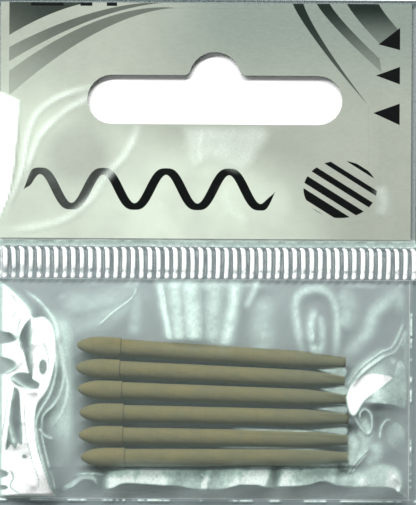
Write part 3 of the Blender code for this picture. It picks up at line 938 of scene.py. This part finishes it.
def make_neck(film, back_film):
    """The free film between the crimped band and the card."""
    low, high = CRIMP_HIGH.y - 0.05, HEADER_LOW.y
    band_z = (CRIMP_LOW.z + CRIMP_HIGH.z) / 2

    def front_height(x, y):
        t = (y - low) / (high - low)
        pleat = 0.07 * value_noise(x, 0 * y, 0.8, 31) * np.sin(np.pi * np.clip(t, 0, 1)) ** 0.5
        # Painted highlights: soft white in the film above each rib, where it would catch the light
        painted_rib_glints = (0.5 + 0.5 * np.cos(2 * np.pi * (x + 0.5 * t) / RIB_PITCH)) * np.clip(1 - t, 0, 1)
        painted_rib_glints = painted_rib_glints * np.clip(0.45 + 0.8 * value_noise(x, 0 * y, 5, 32), 0, 1)
        edge = ease((HALF_WIDTH - np.abs(x)) / 0.9)
        top = FILM_OVER_CARD * edge + RIM_Z * (1 - edge)
        return band_z + (top - band_z) * ease(t) + pleat, 0.5 + 0.3 * painted_rib_glints + 0.06 * t**3

    def back_height(x, y):
        t = (y - low) / (high - low)
        return band_z + (FILM_BACK_Z - band_z) * ease(t), 0 * x

    for name, height, finish in (("neck_front", front_height, film), ("neck_back", back_height, back_film)):
        piece = sheet_grid(name, (-HALF_WIDTH, HALF_WIDTH, low, high), (0.2, 0.08), height, finish)
        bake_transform(piece)


def make_pouch(film, back_film):
    box = flat_box(POUCH_LOW, POUCH_HIGH)
    front = sheet_grid("pouch_front_sheet", box, (0.15, 0.15), pouch_front_height, film)
    back = sheet_grid("pouch_back_sheet", box, (0.25, 0.25), pouch_back_height, back_film)
    stand_in(front, "pouch_film_front", "pouch")
    stand_in(back, "pouch_film_back", "pouch")


def make_crimp(finish):
    """The band's ribs: bowed bars with round ends, whitened where the jaws pressed them, and painted white as
    glare at the band's left end.
    """
    low, high = CRIMP_LOW.y, CRIMP_HIGH.y
    middle = (CRIMP_LOW.z + CRIMP_HIGH.z) / 2
    rng = np.random.default_rng(41)
    lean = rng.uniform(-0.02, 0.02, RIBS)
    dull = rng.uniform(0.25, 0.8, RIBS)
    broad = rng.uniform(0.9, 1.1, RIBS)

    def height(x, y):
        t = (y - low) / (high - low)
        bow = 0.08 * (1 - (2 * t - 1) ** 2) - 0.34 * np.clip((t - 0.86) / 0.14, 0, 1) ** 1.5
        k = np.clip(np.floor((x - bow + HALF_WIDTH) / RIB_PITCH), 0, RIBS - 1).astype(int)
        rib_x = (k + 0.5) * RIB_PITCH - HALF_WIDTH + lean[k] * (y - (low + high) / 2)
        across = np.abs(x - bow - rib_x)
        end = np.clip(np.abs(t - 0.49) - 0.42, 0, None) * (high - low)
        distance = np.hypot(across, end)
        bar = np.clip(1 - (distance / 0.46) ** 2, 0, None)
        z = middle - 0.16 + 0.42 * bar**0.8 + 0.02 * value_noise(x, y, 0.5, 42)
        pressed = 1 - np.clip((distance - 0.21 * broad[k]) / 0.1, 0, 1)
        worn = dull[k] * np.exp(-(((t - 0.24) / 0.09) ** 2)) * (0.7 + 0.6 * value_noise(x, y, 0.25, 43))
        left_wear = np.clip(-(x + 6) / 18, 0, 1) * np.exp(-(((t - 0.3) / 0.16) ** 2)) * 0.5
        between = 0.28 * np.exp(-(((across - RIB_PITCH / 2) / 0.07) ** 2))
        between = between * np.clip(1 - ((t - 0.5) / 0.42) ** 4, 0, 1)
        between = between * (0.6 + 0.8 * value_noise(x, y, 0.9, 44))
        # Painted glare at the band's left end, where the crumpled corner's glare runs on
        painted_glare_end = 0.8 * np.clip((-25.1 - x) / 0.6, 0, 1) * (0.75 + 0.4 * value_noise(x, y, 0.5, 45))
        return z, np.clip(np.maximum(pressed * (1 - worn - left_wear) + between, painted_glare_end), 0, 1)

    band = sheet_grid("crimp_band", (-HALF_WIDTH, HALF_WIDTH, low, high), (0.06, 0.08), height, finish)
    stand_in(band, "crimp_seal", "pouch")


def seam_height(x, y, box, seed):
    """A lumpy melted bead, whitened here and there, along the inner side of a flat fused flange."""
    left, right, bottom, top = box
    upright = top - bottom > right - left
    if not upright:
        inward, along = top - y, x
    elif left > 0:
        inward, along = x - left, y
    else:
        inward, along = right - x, y
    lumps = value_noise(along, 0 * along, 1.5, seed) + 0.5 * value_noise(along, 0 * along, 0.4, seed + 10)
    bead = np.exp(-(((inward - 0.2) / 0.12) ** 2))
    flange = 0.06 + 0.01 * value_noise(x, y, 0.8, seed + 20)
    broken = np.clip(1.8 * lumps + (-0.6 if upright else 0.15), 0, 1)
    return flange + 0.09 * bead * (0.5 + 0.5 * lumps), 0.8 * bead * broken


def make_seams(finish):
    """The pouch's three free edges."""
    for name, node, box, seed in (
        ("left_seam", "left_weld", flat_box(*box_mm("left_weld")), 51),
        ("right_seam", "right_weld", flat_box(*box_mm("right_weld")), 52),
        ("bottom_seam", "bottom_weld", flat_box(*box_mm("bottom_weld")), 53),
    ):
        piece = sheet_grid(name, box, (0.06, 0.06), lambda x, y: seam_height(x, y, box, seed), finish)
        stand_in(piece, node, "pouch")


# A nib's lengths and radii in millimetres, from its tip: head, stem and tail
NIB_LENGTH, HEAD_LENGTH, OGIVE_LENGTH, TAIL_LENGTH = 33.65, 5.5, 3.6, 5.6
HEAD_RADIUS, STEM_RADIUS, TAIL_RADIUS = 1.265, 1.075, 0.64
COLLAR_ROUND, TAIL_ROUND = 0.12, 0.07


def nib_profile():
    """(distance from the tip, radius), finely stepped, with the collar's and tail's edges rounded."""
    points = [(0, 0)]
    for t in np.linspace(0, 1, 29)[1:] ** 2:
        points.append((OGIVE_LENGTH * t, HEAD_RADIUS * math.sin(math.pi / 2 * t) ** 0.48))
    for s in np.linspace(OGIVE_LENGTH, HEAD_LENGTH - COLLAR_ROUND, 14)[1:]:
        points.append((s, HEAD_RADIUS - 0.012 * (s - OGIVE_LENGTH)))
    for a in np.linspace(0, math.pi / 2, 5)[1:]:
        s = HEAD_LENGTH - COLLAR_ROUND * (1 - math.sin(a))
        points.append((s, HEAD_RADIUS - 0.023 - 0.06 * (1 - math.cos(a))))
    points += [(HEAD_LENGTH + 0.05, STEM_RADIUS + 0.05), (HEAD_LENGTH + 0.11, STEM_RADIUS)]
    points += [(s, STEM_RADIUS) for s in np.linspace(HEAD_LENGTH + 0.2, NIB_LENGTH - TAIL_LENGTH, 90)]
    for t in np.linspace(0, 1, 24)[1:]:
        narrow = 0.75 * t + 0.25 * math.sin(math.pi / 2 * t) ** 1.35
        s = NIB_LENGTH - TAIL_LENGTH + (TAIL_LENGTH - TAIL_ROUND) * t
        points.append((s, STEM_RADIUS + (TAIL_RADIUS - STEM_RADIUS) * narrow))
    for a in np.linspace(0, math.pi / 2, 4)[1:]:
        s = NIB_LENGTH - TAIL_ROUND * (1 - math.sin(a))
        points.append((s, TAIL_RADIUS - TAIL_ROUND * (1 - math.cos(a))))
    return points + [(NIB_LENGTH, TAIL_RADIUS / 2), (NIB_LENGTH, 0)]


def make_nibs(felt):
    """Each nib is turned again, finer than its CAD node, along the axis that its joint states."""
    sides = 56
    rings = nib_profile()[1:-1]
    for joint in frame["joints"]:
        if joint["type"] != "slide":
            continue
        node = joint["child"]
        axis = Vector(joint["axis"]).normalized()
        corners = np.array([v.co for v in frame["nodes"][node].data.vertices], float)
        tip = Vector(corners[(corners @ np.array(axis)).argmin()]) / MM
        side, up = Vector((-axis.y, axis.x, 0)), Vector((0, 0, 1))
        phases = np.random.default_rng(60 + int(node[-1])).uniform(0, 6.28, 4)
        points = [tuple(tip)]
        for s, r in rings:
            turned = 0.004 * math.sin(9 * s + phases[2]) if r > 0.6 else 0
            for k in range(sides):
                a = 2 * math.pi * k / sides
                rough = 1 + 0.006 * math.sin(3 * a + phases[0] + 0.7 * s)
                radius = r * (rough + 0.004 * math.sin(7 * a + phases[1] - 1.9 * s)) + turned
                outward = side * math.cos(a) + up * math.sin(a)
                points.append(tuple(tip + axis * s + outward * radius))
        points.append(tuple(tip + axis * NIB_LENGTH))
        last = len(points) - 1
        faces = [(0, 1 + (k + 1) % sides, 1 + k) for k in range(sides)]
        for a in range(1, last - sides, sides):
            b = a + sides
            faces += [(a + k, a + (k + 1) % sides, b + (k + 1) % sides, b + k) for k in range(sides)]
        a = last - sides
        faces += [(a + k, a + (k + 1) % sides, last) for k in range(sides)]
        nib = mesh_object(f"{node}_felt", points, faces, felt)
        nib.data.set_sharp_from_angle(angle=math.radians(40))
        stand_in(nib, node, node)


# --- Stage, lights and camera ---
def make_stage():
    """A floor just below the pack, so that the pack's shadow in the slot has some depth."""
    half, z = 600, -0.2
    corners = [(-half, -half, z), (half, -half, z), (half, half, z), (-half, half, z)]
    floor = mesh_object("floor", corners, [(0, 1, 2, 3)], floor_material(), smooth=False)


def area_light(name, azimuth, elevation, distance, size, radiance, colour=(1, 1, 1)):
    """A soft box. Azimuth 0 is on the pack's top side (+Y), and 90 on its right (+X)."""
    light = bpy.data.lights.new(name, "AREA")
    light.shape = "RECTANGLE"
    light.size, light.size_y = size
    light.energy = radiance * math.pi * size[0] * size[1]
    light.color = colour
    obj = new_object(name, light)
    a, e = math.radians(azimuth), math.radians(elevation)
    obj.location = distance * Vector((math.sin(a) * math.cos(e), math.cos(a) * math.cos(e), math.sin(e)))
    obj.rotation_euler = (-obj.location).to_track_quat("-Z", "Y").to_euler()


def make_lights():
    area_light("key_bar", -18, 43, 0.5, (0.66, 0.07), 40, (0.985, 1, 0.985))
    area_light("left_bar", -92, 48, 0.5, (0.2, 0.04), 12)
    area_light("right_bar", 88, 52, 0.5, (0.2, 0.03), 8)
    world = bpy.data.worlds.new("studio")
    world.use_nodes = True
    world.node_tree.nodes["Background"].inputs["Color"].default_value = (0.9, 1, 0.98, 1)
    world.node_tree.nodes["Background"].inputs["Strength"].default_value = 0.06
    bpy.context.scene.world = world


def make_camera():
    camera = bpy.data.cameras.new("camera")
    camera.lens = LENS_MM
    camera.sensor_width = SENSOR_MM
    camera.clip_start = 0.01
    obj = new_object("camera", camera)
    obj.location = (VIEW_CENTRE.x, VIEW_CENTRE.y, VIEW_HEIGHT * LENS_MM / SENSOR_MM)
    obj.rotation_euler = (0, 0, VIEW_ROLL)
    bpy.context.scene.camera = obj


def main():
    bpy.context.scene.view_settings.view_transform = "Standard"
    clear = film_material("film_front", (0.86, 0.885, 0.88), 0.34, 0.015, 0.08)
    header_clear = film_material("film_header", (0.97, 0.98, 0.975), 0.3, 0, 0.2, glow=(0.9, 1, 0.92))
    # The grey tint is painted shade: the real back film is clear, and the grey stands in for the shaded
    # ground seen through the pack
    grey = film_material("film_back", (0.585, 0.605, 0.615), 0.36, 0.02, 0.5)
    ribbed = film_material("film_ribbed", (0.49, 0.525, 0.54), 0.22, 0.01, 1.2, 0.97, (0.93, 0.98, 0.97))
    fused = film_material("film_fused", (0.44, 0.48, 0.49), 0.25, 0.01, 0.6, 0.95)
    make_camera()
    make_lights()
    make_stage()
    make_header(header_clear, grey, card_material(), fused)
    make_neck(clear, grey)
    make_crimp(ribbed)
    make_pouch(clear, grey)
    make_seams(fused)
    make_nibs(felt_material())


main()
